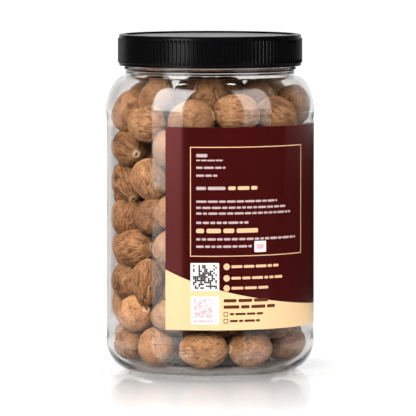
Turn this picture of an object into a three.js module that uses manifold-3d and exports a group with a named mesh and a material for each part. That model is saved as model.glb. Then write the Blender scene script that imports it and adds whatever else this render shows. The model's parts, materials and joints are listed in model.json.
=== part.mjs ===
// A clear screw-top jar filled with whole nutmegs, in millimetres, standing on z = 0 with +Z up.
// The front, towards -Y, is the side where the wrap label begins. Turns are degrees from the front towards +X.
import * as THREE from "three";
import { mergeVertices } from "three/addons/utils/BufferGeometryUtils.js";
import Module from "manifold-3d";

const wasm = await Module();
wasm.setup();

// Driving dimensions of the jar
const bodyRadius = 55;
const wall = 1.2;
const heelWidth = 13;
const heelHeight = 16;
const shoulderBase = 136;
const shoulderWidth = 10.5;
const shoulderHeight = 19;
const neckRadius = bodyRadius - shoulderWidth;
const mouthHeight = 174.5;
const footRadius = bodyRadius - heelWidth;
const footWidth = 7;
const pushUp = 2.5;
const panelDepth = 0.35;
const panelLow = 22;
const panelHigh = 132;
const beadHeight = 159;
const beadSize = 1.1;
const threadHeight = 167;
const threadSize = 1.4;
const sides = 72;
const outerArcSteps = 4;
const innerArcSteps = 3;

// Lid
const lidRadius = 48.65;
const lidLow = 160.4;
const lidHigh = 177;
const lidSkin = 1.25;
const lidCavityRadius = 46.5;
const lidRecessRadius = 45.2;
const lidRecess = 0.9;
const lidChamfer = 1.1;
const ribCount = 132;
const ribDepth = 0.55;
const ribInset = 1.5;

// Label: a strip wound over the recessed panel, with a gap that shows the nutmegs
const labelLow = 24.9;
const labelHigh = 130.5;
const labelStart = -25;
const labelTurn = 250;
const gapMiddle = labelStart - (360 - labelTurn) / 2;
const labelGap = 0.1;
const labelThickness = 0.2;

// Nutmegs
const wallClearance = 1.1;
const pileTop = 156.5;
const ringLevels = 8;
const ringSpacing = 18.4;
const rings = [
  { radius: 43.5, count: 13 },
  { radius: 24.5, count: 7 },
  { radius: 5, count: 1 },
];
const longRange = [11.2, 13.4];
const wideRange = [9.3, 10.7];
const settleSteps = 160;
const settleDrop = 0.5;
const pushShare = 0.55;
const crowding = 0.72;
const eggTaper = 0.08;
const coreInset = 16;
const coreLow = 12;
const coreHigh = 143;
const shownDepth = 34;
const shownTurnMargin = 6;
const shownHeightMargin = 4;
const smallestDetail = 0.01;

// The turns between which the front nutmegs fill the wall, beside the label and clear of it
const filledFrom = -112;
const filledTo = -12;
const filledToClearOfLabel = 100;
const filledHeightMargin = 6;

// The nutmegs that the front shows: turn, height, length, width, lean of the long axis from upright towards
// the right, how far its thicker end points to the front, and how far the nutmeg sits inside the wall
const frontNutmegs = [
  [-78, 136.6, 24, 20, 40, -15, 0],
  [-50, 130.9, 21, 19, 80, 30, 0],
  [-80, 117.8, 23, 19, 130, 62, 0],
  [-82, 99.3, 23, 18, 160, 38, 0],
  [-46, 101.6, 23.5, 19.5, -15, 10, 0],
  [-28.7, 118.2, 22, 18, 0, 30, 0],
  [-82, 80.6, 22.5, 18, 6, 5, 0],
  [-47, 82.6, 23, 19, 50, 30, 3],
  [-67, 65.4, 24, 19.5, 85, 40, 0],
  [-98, 63.6, 24, 19, 0, 20, 0],
  [-27.3, 67, 23, 18.5, 70, 40, 0],
  [-25, 85.5, 23, 19, 80, 30, 0],
  [-47.5, 47.9, 25, 16.5, 4, 5, 0],
  [-80, 47.2, 23, 18, 15, 30, 0],
  [-64, 30.7, 22, 19.5, 60, 55, 0],
  [-97, 33.2, 23, 18, 0, 10, 0],
  [-27.3, 31.2, 23, 18, 85, 30, 0],
  [-76, 13.1, 23, 19.5, 100, -70, 0],
  [-41, 13, 22.5, 20.4, 0, -60, 0],
  [-5.2, 12.8, 25, 20.2, 88, 0, 0],
  [29.7, 12.9, 23.5, 20.2, -90, 25, 0],
  [68, 14, 24, 19, 30, 30, 0],
  [0, 145.5, 23, 19.5, 8, -20, 19],
  [-13.2, 134, 25, 20, 80, 15, 0],
  [19, 137, 24, 20, 98, 10, 0],
  [55, 134.2, 24, 20, -50, 15, 0],
  [88, 138.5, 24, 19.5, 20, 10, 0],
  [56, 144, 22, 18, 70, 30, 14],
  [-55.5, 143.5, 23, 18, 40, 30, 9],
  [-103, 141, 22, 18, 20, 30, 7],
  [-30, 146, 24, 19.5, 75, 20, 26],
  [30, 146, 24, 19.5, 100, -15, 26],
];

const radians = (degrees) => (degrees * Math.PI) / 180;
const between = ([low, high], share) => low + (high - low) * share;

// A repeatable number from 0 to 1 for nutmeg i, one for each purpose k
function chance(i, k) {
  const wave = Math.sin(i * 12.9898 + k * 78.233) * 43758.5453;
  return wave - Math.floor(wave);
}

// Points of a quarter ellipse round (x, y), from one angle to another in degrees
function quarter([x, y], [across, up], [from, to], steps) {
  return Array.from({ length: steps + 1 }, (_, i) => {
    const angle = radians(from + ((to - from) * i) / steps);
    return new THREE.Vector2(
      x + across * Math.cos(angle),
      y + up * Math.sin(angle),
    );
  });
}

// A profile of (radius, height) points turned about the Z axis
function turned(points) {
  const profile = points.map((p) =>
    p.isVector2 ? p : new THREE.Vector2(p[0], p[1]),
  );
  return new THREE.LatheGeometry(profile, sides).rotateX(Math.PI / 2);
}

// A closed geometry as a manifold-3d solid
function solid(geometry) {
  const bare = geometry.clone();
  bare.deleteAttribute("normal");
  bare.deleteAttribute("uv");
  const merged = mergeVertices(bare, 1e-4);
  return new wasm.Manifold(
    new wasm.Mesh({
      numProp: 3,
      vertProperties: merged.getAttribute("position").array,
      triVerts: new Uint32Array(merged.index.array),
    }),
  );
}

// A manifold-3d solid as a geometry
function geometryOf(shape) {
  const mesh = shape.getMesh();
  const geometry = new THREE.BufferGeometry();
  geometry.setAttribute(
    "position",
    new THREE.Float32BufferAttribute(mesh.vertProperties, 3),
  );
  geometry.setIndex(new THREE.BufferAttribute(mesh.triVerts, 1));
  geometry.computeVertexNormals();
  return geometry;
}

// A ridge round the neck, as three points of the outer profile
function ridge(height, size) {
  return [
    [neckRadius, height - size],
    [neckRadius + size, height],
    [neckRadius, height + size],
  ];
}

// The clear jar: outside up from the foot to the mouth, then inside down to the floor
function jarGeometry() {
  const panel = bodyRadius - panelDepth;
  const heelCentre = [footRadius, heelHeight];
  const shoulderCentre = [neckRadius, shoulderBase];
  const inwards = ([radius, height]) => [radius - wall, height];
  const outside = [
    [0, pushUp],
    [footRadius - footWidth, 0],
    ...quarter(heelCentre, [heelWidth, heelHeight], [-90, 0], outerArcSteps),
    [panel, panelLow],
    [panel, panelHigh],
    ...quarter(
      shoulderCentre,
      [shoulderWidth, shoulderHeight],
      [0, 90],
      outerArcSteps,
    ),
    ...ridge(beadHeight, beadSize),
    ...ridge(threadHeight, threadSize),
    [neckRadius, mouthHeight],
  ];
  const inside = [
    [neckRadius - wall, mouthHeight],
    ...quarter(
      inwards(shoulderCentre),
      [shoulderWidth, shoulderHeight],
      [90, 0],
      innerArcSteps,
    ),
    ...quarter(
      inwards(heelCentre),
      [heelWidth, heelHeight - wall],
      [0, -90],
      innerArcSteps,
    ),
    [footRadius - footWidth, wall],
    [0, pushUp + wall],
  ];
  return turned([...outside, ...inside]);
}

// The screw lid: a chamfered cap with a ribbed band, hollow below and recessed on top
function lidGeometry() {
  const root = lidRadius - ribDepth;
  const cap = turned([
    [0, lidLow],
    [root - 0.3, lidLow],
    [root, lidLow + 0.3],
    [root, lidHigh - lidChamfer],
    [root - lidChamfer, lidHigh],
    [0, lidHigh],
  ]);
  const outline = new THREE.Shape(
    Array.from({ length: ribCount * 2 }, (_, i) => {
      const angle = (Math.PI * (i + 0.5)) / ribCount;
      const radius = i % 2 ? lidRadius : root + 0.05;
      return new THREE.Vector2(
        radius * Math.cos(angle),
        radius * Math.sin(angle),
      );
    }),
  );
  const band = new THREE.ExtrudeGeometry(outline, {
    depth: lidHigh - lidLow - 2 * ribInset,
    bevelEnabled: false,
  }).translate(0, 0, lidLow + ribInset);
  const ceiling = lidHigh - lidRecess - lidSkin;
  const cavity = turned([
    [0, lidLow - 1],
    [lidCavityRadius, lidLow - 1],
    [lidCavityRadius, ceiling],
    [0, ceiling],
  ]);
  const recess = turned([
    [0, lidHigh - lidRecess],
    [lidRecessRadius, lidHigh - lidRecess],
    [lidRecessRadius, lidHigh + 1],
    [0, lidHigh + 1],
  ]);
  return geometryOf(
    solid(cap).add(solid(band)).subtract(solid(cavity)).subtract(solid(recess)),
  );
}

// The label: an arc band as tall as the print, with facets in line with those of the jar
function labelGeometry() {
  const inner = bodyRadius - panelDepth + labelGap;
  const outer = inner + labelThickness;
  const start = radians(labelStart - 90);
  const end = start + radians(labelTurn);
  const band = new THREE.Shape();
  band.absarc(0, 0, outer, start, end, false);
  band.absarc(0, 0, inner, end, start, true);
  return new THREE.ExtrudeGeometry(band, {
    depth: labelHigh - labelLow,
    bevelEnabled: false,
    curveSegments: (labelTurn * sides) / 360 / 2,
  }).translate(0, 0, labelLow);
}

// How far an egg of half-length a and half-width b reaches from its centre along a direction
function reach(nutmeg, direction) {
  const c = nutmeg.axis.dot(direction);
  return 1 / Math.sqrt((c * c) / nutmeg.a ** 2 + (1 - c * c) / nutmeg.b ** 2);
}

// How far the plane that touches the egg from outside, facing a direction, lies from its centre
function support(nutmeg, direction) {
  const c = nutmeg.axis.dot(direction);
  return Math.sqrt(c * c * nutmeg.a ** 2 + (1 - c * c) * nutmeg.b ** 2);
}

// The same for the room inside the jar, whose wall faces outwards at a slope above the horizontal
function roomSupport(slope) {
  const across = Math.cos(slope);
  const up = Math.sin(slope);
  const low = slope < 0;
  const centre = low
    ? [footRadius - wall, heelHeight]
    : [neckRadius - wall, shoulderBase];
  const width = low ? heelWidth : shoulderWidth;
  const height = low ? heelHeight - wall : pileTop - shoulderBase;
  return (
    centre[0] * across +
    centre[1] * up +
    Math.hypot(width * across, height * up) -
    wallClearance
  );
}

// The height of the pushed-up floor at a distance from the jar's axis
function floorLift(radius) {
  return pushUp * Math.max(0, 1 - radius / (footRadius - footWidth));
}

// Moves a nutmeg back inside the jar, by each slope of the wall in turn
function keepInside(nutmeg) {
  for (const degrees of [-90, -60, -30, 0, 30, 60, 90]) {
    const slope = radians(degrees);
    const radius = Math.hypot(nutmeg.centre.x, nutmeg.centre.y) + 1e-9;
    const direction = new THREE.Vector3(
      (nutmeg.centre.x / radius) * Math.cos(slope),
      (nutmeg.centre.y / radius) * Math.cos(slope),
      Math.sin(slope),
    );
    const lift = degrees === -90 ? floorLift(radius) : 0;
    const past =
      nutmeg.centre.dot(direction) +
      support(nutmeg, direction) -
      roomSupport(slope) +
      lift;
    if (past > 0) nutmeg.centre.addScaledVector(direction, -past);
  }
}

// The long axis of a nutmeg seen from a turn, from its lean to the right and from how far it points out there
function longAxis(turn, lean, facing) {
  const outward = new THREE.Vector3(Math.sin(turn), -Math.cos(turn), 0);
  const sideways = new THREE.Vector3(Math.cos(turn), Math.sin(turn), 0);
  return sideways
    .multiplyScalar(Math.sin(lean) * Math.cos(facing))
    .addScaledVector(
      new THREE.Vector3(0, 0, 1),
      Math.cos(lean) * Math.cos(facing),
    )
    .addScaledVector(outward, Math.sin(facing));
}

// A nutmeg that the front shows, set against the wall where the front shows it
function frontNutmeg([turn, height, long, wide, lean, facing, inset]) {
  const angle = radians(turn);
  const nutmeg = {
    a: long / 2,
    b: wide / 2,
    axis: longAxis(0, radians(lean), radians(facing)),
    fixed: true,
  };
  const outward = new THREE.Vector3(Math.sin(angle), -Math.cos(angle), 0);
  const radius = roomSupport(0) - support(nutmeg, outward) - inset;
  nutmeg.centre = outward.multiplyScalar(radius).setZ(height);
  keepInside(nutmeg);
  return nutmeg;
}

// How far a place lies from the middle of the label's gap, in degrees about the axis
function fromGapMiddle({ x, y }) {
  const turn = THREE.MathUtils.radToDeg(Math.atan2(x, -y));
  return Math.abs(
    THREE.MathUtils.euclideanModulo(turn - gapMiddle + 180, 360) - 180,
  );
}

// Whether a place at the wall belongs to the front nutmegs: beside the label, and below and above it
function isFilledAlready(centre) {
  const turn = THREE.MathUtils.radToDeg(Math.atan2(centre.x, -centre.y));
  const clearOfLabel =
    centre.z < labelLow || centre.z > labelHigh - filledHeightMargin;
  return (
    turn > filledFrom &&
    turn < (clearOfLabel ? filledToClearOfLabel : filledTo)
  );
}

// The others start in rings on levels, away from the ones already placed
function filledRings(placed) {
  const found = [];
  for (let level = 0; level < ringLevels; level++)
    rings.forEach(({ radius, count }, ring) => {
      for (let place = 0; place < count; place++) {
        const i = found.length + placed.length * 7;
        const angle =
          ((place + 0.5 * (level % 2) + 0.3 * chance(i, 1)) * 2 * Math.PI) /
            count +
          ring;
        const nutmeg = {
          a: between(longRange, chance(i, 2)),
          b: between(wideRange, chance(i, 3)),
          axis: longAxis(
            angle,
            Math.PI * chance(i, 4),
            Math.asin(chance(i, 5)) * 0.8,
          ),
          centre: new THREE.Vector3(
            radius * Math.sin(angle),
            -radius * Math.cos(angle),
            12 + ringSpacing * level + 4 * chance(i, 6),
          ),
          fixed: false,
        };
        const room = 2 * nutmeg.b * crowding;
        nutmeg.leftOut =
          (ring === 0 && isFilledAlready(nutmeg.centre)) ||
          placed.some(
            (other) => other.centre.distanceTo(nutmeg.centre) < room,
          );
        found.push(nutmeg);
      }
    });
  return found.filter((nutmeg) => !nutmeg.leftOut);
}

// Lets the free nutmegs sink and push apart until they lie on each other and against the wall
function settle(nutmegs) {
  for (let step = 0; step < settleSteps; step++) {
    const moves = nutmegs.map(() => new THREE.Vector3());
    nutmegs.forEach((one, i) =>
      nutmegs.slice(i + 1).forEach((other, offset) => {
        const j = i + 1 + offset;
        const apart = other.centre.clone().sub(one.centre);
        const distance = apart.length();
        if (distance > one.a + other.a || (one.fixed && other.fixed)) return;
        apart.divideScalar(distance);
        const overlap = reach(one, apart) + reach(other, apart) - distance;
        if (overlap <= 0) return;
        const share = one.fixed || other.fixed ? 1 : 0.5;
        moves[i].addScaledVector(apart, -overlap * share * pushShare);
        moves[j].addScaledVector(apart, overlap * share * pushShare);
      }),
    );
    const drop = settleDrop * Math.max(0, 1 - (1.25 * step) / settleSteps);
    nutmegs.forEach((nutmeg, i) => {
      if (nutmeg.fixed) return;
      nutmeg.centre.add(moves[i]);
      nutmeg.centre.z -= drop;
      keepInside(nutmeg);
    });
  }
  return nutmegs;
}

// One nutmeg: an egg wider towards one end, lying along its long axis, with more sides at the front
function nutmegSolid(nutmeg) {
  const egg = nutmeg.fixed
    ? new THREE.IcosahedronGeometry(1, 1)
    : new THREE.OctahedronGeometry(1, 1);
  const position = egg.getAttribute("position");
  for (let i = 0; i < position.count; i++) {
    const along = position.getZ(i);
    const width = nutmeg.b * (1 + eggTaper * along);
    position.setXYZ(
      i,
      position.getX(i) * width,
      position.getY(i) * width,
      along * nutmeg.a,
    );
  }
  egg.applyQuaternion(
    new THREE.Quaternion().setFromUnitVectors(
      new THREE.Vector3(0, 0, 1),
      nutmeg.axis,
    ),
  );
  egg.translate(...nutmeg.centre.toArray());
  return solid(egg);
}

// Whether a nutmeg can be seen: near the wall in the gap of the label, above or below the label, or on top
function isShown({ centre }) {
  const depth = bodyRadius - wall - Math.hypot(centre.x, centre.y);
  const beside =
    fromGapMiddle(centre) < (360 - labelTurn) / 2 + shownTurnMargin ||
    centre.z < labelLow + shownHeightMargin ||
    centre.z > labelHigh - shownHeightMargin;
  return (
    (depth < shownDepth && beside) || centre.z > coreHigh - shownHeightMargin
  );
}

// The pile: a core with every nutmeg that shows from outside fused on, as one body without sealed gaps
function pileGeometry() {
  const front = frontNutmegs.map(frontNutmeg);
  const nutmegs = settle([...front, ...filledRings(front)]);
  const shown = nutmegs.filter(isShown);
  const coreRadius = bodyRadius - wall - coreInset;
  const core = turned([
    [0, coreLow],
    [coreRadius - 4, coreLow],
    [coreRadius, coreLow + 6],
    [coreRadius, coreHigh - 8],
    [coreRadius - 8, coreHigh],
    [0, coreHigh],
  ]);
  const fused = wasm.Manifold.union([solid(core), ...shown.map(nutmegSolid)]);
  const bodies = fused
    .asOriginal()
    .simplify(smallestDetail)
    .decompose()
    .sort((p, q) => q.volume() - p.volume());
  return geometryOf(bodies[0]);
}

function part(name, geometry, color, roughness, extra = {}) {
  const mesh = new THREE.Mesh(
    geometry,
    new THREE.MeshStandardMaterial({ color, roughness, ...extra }),
  );
  mesh.name = name;
  return mesh;
}

const jar = new THREE.Group();
jar.add(
  part("jar", jarGeometry(), 0xe6e8e6, 0.05, {
    transparent: true,
    opacity: 0.25,
  }),
  part("lid", lidGeometry(), 0x0d0d0e, 0.4),
  part("label", labelGeometry(), 0x4d1718, 0.35),
  part("nutmegs", pileGeometry(), 0xa87a55, 0.8),
);

export default jar;
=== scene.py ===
import itertools
import json

import bpy
import numpy as np
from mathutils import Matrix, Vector

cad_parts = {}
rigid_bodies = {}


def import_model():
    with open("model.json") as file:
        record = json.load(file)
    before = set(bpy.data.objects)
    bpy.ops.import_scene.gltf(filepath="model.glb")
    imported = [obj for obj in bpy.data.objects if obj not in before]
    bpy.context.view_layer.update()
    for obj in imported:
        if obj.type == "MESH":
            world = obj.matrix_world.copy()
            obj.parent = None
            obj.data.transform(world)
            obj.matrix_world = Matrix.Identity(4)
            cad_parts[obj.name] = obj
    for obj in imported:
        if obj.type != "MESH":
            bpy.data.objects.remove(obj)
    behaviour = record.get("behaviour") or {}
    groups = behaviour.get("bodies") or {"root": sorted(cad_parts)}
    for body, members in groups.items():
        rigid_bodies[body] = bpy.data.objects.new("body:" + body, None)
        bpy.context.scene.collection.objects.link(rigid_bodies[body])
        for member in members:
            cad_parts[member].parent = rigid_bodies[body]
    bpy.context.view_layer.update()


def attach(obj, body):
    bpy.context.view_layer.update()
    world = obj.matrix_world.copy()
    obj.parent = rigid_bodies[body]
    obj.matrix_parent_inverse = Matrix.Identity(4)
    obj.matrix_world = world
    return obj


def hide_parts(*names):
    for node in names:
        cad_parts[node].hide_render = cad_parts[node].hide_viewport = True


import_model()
mm = 0.001


# Meshes from grids of points

# Arrays stretched to one shape and set side by side along a last axis
def stacked(*values):
    return np.stack(np.broadcast_arrays(*values), -1)


# Quads between neighbouring rows and columns of a grid; with wrap the last column joins the first
def gridQuads(rows, columns, wrap=False):
    row = np.arange(rows - 1)[:, None]
    column = np.arange(columns if wrap else columns - 1)[None, :]
    following = (column + 1) % columns
    return stacked(row * columns + column, row * columns + following,
                   (row + 1) * columns + following, (row + 1) * columns + column).reshape(-1, 4)


# A mesh from whole arrays: points in metres, four-cornered faces and three-cornered faces
def arrayMesh(name, points, quads, triangles=None):
    triangles = np.zeros((0, 3), int) if triangles is None else triangles
    corners = np.concatenate([quads.ravel(), triangles.ravel()]).astype(np.int32)
    quadStarts = np.arange(len(quads)) * 4
    triangleStarts = len(quads) * 4 + np.arange(len(triangles)) * 3
    starts = np.concatenate([quadStarts, triangleStarts]).astype(np.int32)
    mesh = bpy.data.meshes.new(name)
    mesh.vertices.add(len(points))
    mesh.vertices.foreach_set("co", points.astype(np.float32).ravel())
    mesh.loops.add(len(corners))
    mesh.loops.foreach_set("vertex_index", corners)
    mesh.polygons.add(len(starts))
    mesh.polygons.foreach_set("loop_start", starts)
    mesh.update(calc_edges=True)
    mesh.validate()
    mesh.shade_smooth()
    return mesh


def addObject(name, data):
    added = bpy.data.objects.new(name, data)
    bpy.context.scene.collection.objects.link(added)
    return added


# A finished piece of the object, riding on its one body
def addPiece(name, mesh, materials, node=None):
    piece = addObject(name, mesh)
    for material in materials:
        mesh.materials.append(material)
    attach(piece, "root")
    if node:
        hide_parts(node)
    return piece


# Points of an ellipse round (x, y) from one angle to another, in degrees, as rows of (radius, height)
def ellipseArc(x, y, across, up, first, last, steps):
    angle = np.radians(np.linspace(first, last, steps + 1))
    return np.stack([x + across * np.cos(angle), y + up * np.sin(angle)], -1)


# A straight stretch of a profile, without its first point
def straight(start, end, steps):
    share = np.linspace(0, 1, steps + 1)[1:, None]
    return np.array(start) * (1 - share) + np.array(end) * share


# A profile of (radius, height) rows turned about the Z axis, with relief(turn, radius, height) added to the
# radius. An end on the axis closes in a fan, and a profile with no end there closes on itself.
def turnedMesh(name, profile, columns, relief):
    turn = np.linspace(0, 2 * np.pi, columns, endpoint=False)[None, :]
    radius = np.repeat(profile[:, :1], columns, 1)
    height = np.repeat(profile[:, 1:], columns, 1)
    radius = radius + relief(turn, radius, height)
    ring = np.stack([radius * np.cos(turn), radius * np.sin(turn), height], -1)
    poleLow, poleHigh = profile[[0, -1], 0] < 1e-6
    rings = ring[int(poleLow):len(ring) - int(poleHigh)]
    points = rings.reshape(-1, 3)
    quads = gridQuads(len(rings), columns, wrap=True)
    column = np.arange(columns)
    following = (column + 1) % columns
    last = (len(rings) - 1) * columns
    triangles = [np.zeros((0, 3), int)]
    for pole, tip, second, third in ((poleLow, ring[0, :1], following, column),
                                     (poleHigh, ring[-1, :1], last + column, last + following)):
        if pole:
            triangles.append(np.stack([np.full(columns, len(points)), second, third], -1))
            points = np.concatenate([points, tip])
    if not poleLow and not poleHigh:
        closing = np.stack([last + column, last + following, following, column], -1)
        quads = np.concatenate([quads, closing])
    return arrayMesh(name, points * mm, quads, np.concatenate(triangles))


# Smooth step from 0 at low to 1 at high
def smoothStep(low, high, value):
    share = np.clip((value - low) / (high - low), 0, 1)
    return share * share * (3 - 2 * share)


# A bell that is 1 at distance 0 and 1/e at its breadth
def bell(distance, breadth):
    return np.exp(-(distance / breadth) ** 2)


# Noise for relief

# A repeatable whole number for each corner of the lattice
def latticeNumber(cell, seed):
    mixed = (cell[..., 0] * 374761393 + cell[..., 1] * 668265263
             + cell[..., 2] * 1440662683 + seed * 1274126177) & 0xFFFFFFFF
    mixed = ((mixed ^ (mixed >> 13)) * 1103515245) & 0xFFFFFFFF
    return mixed ^ (mixed >> 16)


# Gradient noise, about -1 to 1: a random slope at each lattice corner, blended by 6t^5 - 15t^4 + 10t^3
def slopeNoise(points, seed):
    cell = np.floor(points).astype(np.int64)
    part = points - cell
    fade = part ** 3 * (part * (part * 6 - 15) + 10)
    total = np.zeros(points.shape[:-1])
    for corner in itertools.product((0, 1), repeat=3):
        corner = np.array(corner)
        number = latticeNumber(cell + corner, seed)
        slope = np.stack([(number >> shift) & 1023 for shift in (0, 10, 20)], -1) / 511.5 - 1
        weight = np.prod(np.where(corner, fade, 1 - fade), -1)
        total += weight * np.sum(slope * (part - corner), -1)
    return total * 1.5


# Shader building

# Sets the inputs of a node, by name or number, to a value or to the output of another node
def feed(node, inputs):
    for key, value in inputs.items():
        if isinstance(value, bpy.types.NodeSocket):
            node.id_data.links.new(value, node.inputs[key])
        else:
            node.inputs[key].default_value = value


def addNode(tree, kind, inputs=None, **settings):
    node = tree.nodes.new(kind)
    for key, value in settings.items():
        setattr(node, key, value)
    feed(node, inputs or {})
    return node


# An sRGB colour of 0 to 255 as the linear colour that a shader takes
def paint(red, green, blue):
    share = np.array([red, green, blue]) / 255
    linear = np.where(share <= 0.04045, share / 12.92, ((share + 0.055) / 1.055) ** 2.4)
    return (*linear.tolist(), 1.0)


def newMaterial(name, inputs):
    material = bpy.data.materials.new(name)
    material.use_nodes = True
    tree = material.node_tree
    shader = tree.nodes["Principled BSDF"]
    feed(shader, inputs)
    return material, tree, shader


# A mix of two colours; the Mix node has its colours at sockets 6 and 7, and their mix at output 2
def mixColours(tree, factor, first, second, blend="MIX"):
    inputs = {0: factor, 6: first, 7: second}
    return addNode(tree, "ShaderNodeMix", inputs, data_type="RGBA", blend_type=blend).outputs[2]


def reMap(tree, value, fromLow, fromHigh, toLow=0.0, toHigh=1.0):
    node = addNode(tree, "ShaderNodeMapRange", {"Value": value, "From Min": fromLow, "From Max": fromHigh,
                                                "To Min": toLow, "To Max": toHigh})
    return node.outputs["Result"]


def compute(tree, operation, first, second=0.0):
    return addNode(tree, "ShaderNodeMath", {0: first, 1: second}, operation=operation).outputs[0]


def objectPlace(tree):
    return addNode(tree, "ShaderNodeTexCoord").outputs["Object"]


def addNoise(tree, place, scale, detail, roughness=0.5, distortion=0.0):
    node = addNode(tree, "ShaderNodeTexNoise", {"Vector": place, "Scale": scale, "Detail": detail,
                                                "Roughness": roughness, "Distortion": distortion})
    return node.outputs["Fac"]


# Gives a shader the roughness and the fine relief that a group puts out
def applyFinish(tree, shader, finish, strength, distance):
    bump = addNode(tree, "ShaderNodeBump", {"Height": finish.outputs["Height"], "Strength": strength,
                                            "Distance": distance})
    feed(shader, {"Roughness": finish.outputs["Roughness"], "Normal": bump.outputs["Normal"]})


def outputMix(tree, factor, first, second):
    mixed = addNode(tree, "ShaderNodeMixShader", {0: factor, 1: first.outputs[0], 2: second.outputs[0]})
    feed(tree.nodes["Material Output"], {"Surface": mixed.outputs[0]})


# A node group with its named sockets, and what comes in through them
def newGroup(name, inputs, outputs):
    group = bpy.data.node_groups.new(name, "ShaderNodeTree")
    for side, sockets in (("INPUT", inputs), ("OUTPUT", outputs)):
        for socket, kind in sockets.items():
            group.interface.new_socket(socket, in_out=side, socket_type="NodeSocket" + kind)
    return group, addNode(group, "NodeGroupInput").outputs


# Uneven sheen and fine moulded grain for plastics and films: a soft cloud for roughness and a fine height
def makeMouldedFinish():
    names = ("Cloud Scale", "Grain Scale", "Roughness", "Spread")
    group, given = newGroup("mouldedFinish", dict.fromkeys(names, "Float"),
                            {"Roughness": "Float", "Height": "Float"})
    place = objectPlace(group)
    cloud = addNoise(group, place, given["Cloud Scale"], 3.0)
    grain = addNoise(group, place, given["Grain Scale"], 2.0)
    offset = compute(group, "MULTIPLY", compute(group, "SUBTRACT", cloud, 0.5), given["Spread"])
    roughness = compute(group, "ADD", given["Roughness"], offset)
    addNode(group, "NodeGroupOutput", {"Roughness": roughness, "Height": grain})
    return group


mouldedFinish = makeMouldedFinish()


def placeFinish(tree, cloudScale, grainScale, roughness, spread):
    inputs = {"Cloud Scale": cloudScale, "Grain Scale": grainScale, "Roughness": roughness, "Spread": spread}
    return addNode(tree, "ShaderNodeGroup", inputs, node_tree=mouldedFinish)


# Camera, light and floor

shot = {
    "distance": 2.8,  # metres from the jar's axis
    "height": 0.275,
    "aimHeight": 0.0849,
    "aimSide": -0.0011,
    "lens": 459.4,
    "sensor": 36.0,
}


def makeCamera():
    camera = addObject("camera", bpy.data.cameras.new("camera"))
    camera.data.sensor_width = shot["sensor"]
    camera.data.lens = shot["lens"]
    camera.location = (shot["aimSide"], -shot["distance"], shot["height"])
    aim = Vector((shot["aimSide"], 0, shot["aimHeight"])) - camera.location
    camera.rotation_euler = aim.to_track_quat("-Z", "Y").to_euler()
    bpy.context.scene.camera = camera


# A lamp's place from its turn from the front towards +X, in degrees, its distance and its height
def lampPlace(turn, distance, height):
    turn = np.radians(turn)
    return distance * np.sin(turn), -distance * np.cos(turn), height


# Rectangular lamps, in metres, each aimed at a height on the jar's axis. "lights" gives the beginnings of
# the names of what a lamp lights, and "hiddenFrom" the kinds of ray that don't meet it.
lamps = {
    "softboxLeft": {"place": lampPlace(-48.5, 1.15, 0.62), "aim": 0.2, "size": (0.88, 1.3), "glow": 2.4,
                    "lights": ("jarShell", "wrapLabel", "ink", "nutmegs", "heapCore", "floor")},
    "softboxRight": {"place": lampPlace(54.0, 1.3, 0.72), "aim": 0.2, "size": (0.9, 1.3), "glow": 1.8,
                     "lights": ("jarShell", "nutmegs", "heapCore", "floor")},
    # brighter upper parts of the two, which only the jar mirrors
    "sheenLeft": {"place": lampPlace(-48.5, 1.17, 0.84), "aim": 0.2, "size": (0.88, 1.3), "glow": 5.2,
                  "lights": ("jarShell",), "hiddenFrom": ("diffuse",)},
    "sheenRight": {"place": lampPlace(54.0, 1.32, 0.94), "aim": 0.2, "size": (0.9, 1.3), "glow": 1.5,
                   "lights": ("jarShell",), "hiddenFrom": ("diffuse",)},
    # small bright spots on the neck and the shoulder
    "spot0": {"place": (-0.34, -0.05, 1.1), "aim": 0.15, "size": (0.1, 0.1), "glow": 16.0},
    "spot1": {"place": (0.24, -0.05, 1.1), "aim": 0.15, "size": (0.1, 0.1), "glow": 16.0},
    # the main light, on all but the label
    "key": {"place": (-0.45, -1.7, 1.1), "aim": 0.09, "size": (0.9, 0.9), "glow": 24.6,
            "lights": ("jarShell", "ribbedLid", "nutmegs", "heapCore", "floor"),
            "hiddenFrom": ("glossy", "transmission")},
    "printLamp": {"place": (0.8, -1.55, 0.9), "aim": 0.09, "size": (2.2, 1.2), "glow": 5.1,
                  "lights": ("wrapLabel", "ink"), "hiddenFrom": ("glossy", "transmission")},
    # low on the left, for the highlight on the lid's side
    "lidLamp": {"place": (-0.72, -0.95, 0.24), "aim": 0.17, "size": (0.52, 0.4), "glow": 7.0,
                "lights": ("ribbedLid",)},
}


# A lamp's power is its glow x pi x its area
def makeLamps():
    for name, lamp in lamps.items():
        width, height = lamp["size"]
        light = bpy.data.lights.new(name, "AREA")
        light.shape = "RECTANGLE"
        light.size = width
        light.size_y = height
        light.energy = lamp["glow"] * np.pi * width * height
        holder = addObject(name, light)
        holder.location = lamp["place"]
        aim = Vector((0, 0, lamp["aim"])) - Vector(lamp["place"])
        holder.rotation_euler = aim.to_track_quat("-Z", "Y").to_euler()
        for ray in lamp.get("hiddenFrom", ()):
            setattr(holder, "visible_" + ray, False)


# Run last, when there is something to light
def linkLamps():
    for name, lamp in lamps.items():
        if "lights" in lamp:
            lit = bpy.data.collections.new(name + "Targets")
            for thing in bpy.context.scene.collection.objects:
                if thing.name.startswith(lamp["lights"]):
                    lit.objects.link(thing)
            bpy.data.objects[name].light_linking.receiver_collection = lit


room = {
    "white": 1.05,  # brightness of the background that the camera sees
    "front": 0.02,  # and of the dark front of the room, which plastic shows
    "behind": 0.95,  # and of its bright end behind the jar
    "mirroredFrom": (0.75, 0.95),  # how far back a mirrored ray points as it turns bright
    "throughFrom": (0.3, 0.6),  # the same for a ray through the plastic
}


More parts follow.
